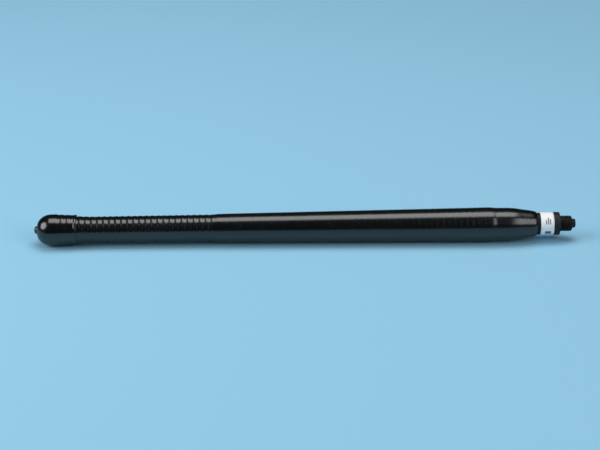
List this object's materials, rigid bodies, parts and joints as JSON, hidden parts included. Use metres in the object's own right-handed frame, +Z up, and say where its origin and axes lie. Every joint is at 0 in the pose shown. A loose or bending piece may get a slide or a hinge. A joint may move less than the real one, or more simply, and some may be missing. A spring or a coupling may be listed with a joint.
{
  "type": "flexible helical whip antenna",
  "caption": "Flexible helical whip antenna for a hand-held radio: ribbed black sleeve over a spring coil, dipped tip cap, and threaded stud with collar.",
  "frame": {"origin": "centre of the bounding box at its lowest level: the antenna lies on its side on the plane Z = 0", "axes": "+X along the antenna from the cap to the stud, +Z up, +Y away from the camera"},
  "size_m": [0.2164, 0.0136, 0.0137],
  "materials": {
    "cap_vinyl": "glossy black dipped vinyl",
    "sleeve_plastic": "glossy black heat-shrunk tube",
    "tube_rubber": "moulded black rubber",
    "coil_steel": "plated spring wire",
    "ferrule_brass": "turned brass",
    "stud_black": "matte black finish on turned metal",
    "label_paper": "white coated label paper"
  },
  "bodies": {
    "root": {"tip_cap": "cap_vinyl", "outer_sleeve": "sleeve_plastic", "stiffening_tube": "tube_rubber", "radiating_coil": "coil_steel", "coil_ferrule": "ferrule_brass", "connector_stud": "stud_black", "label_band": "label_paper"}
  },
  "joints": []
}
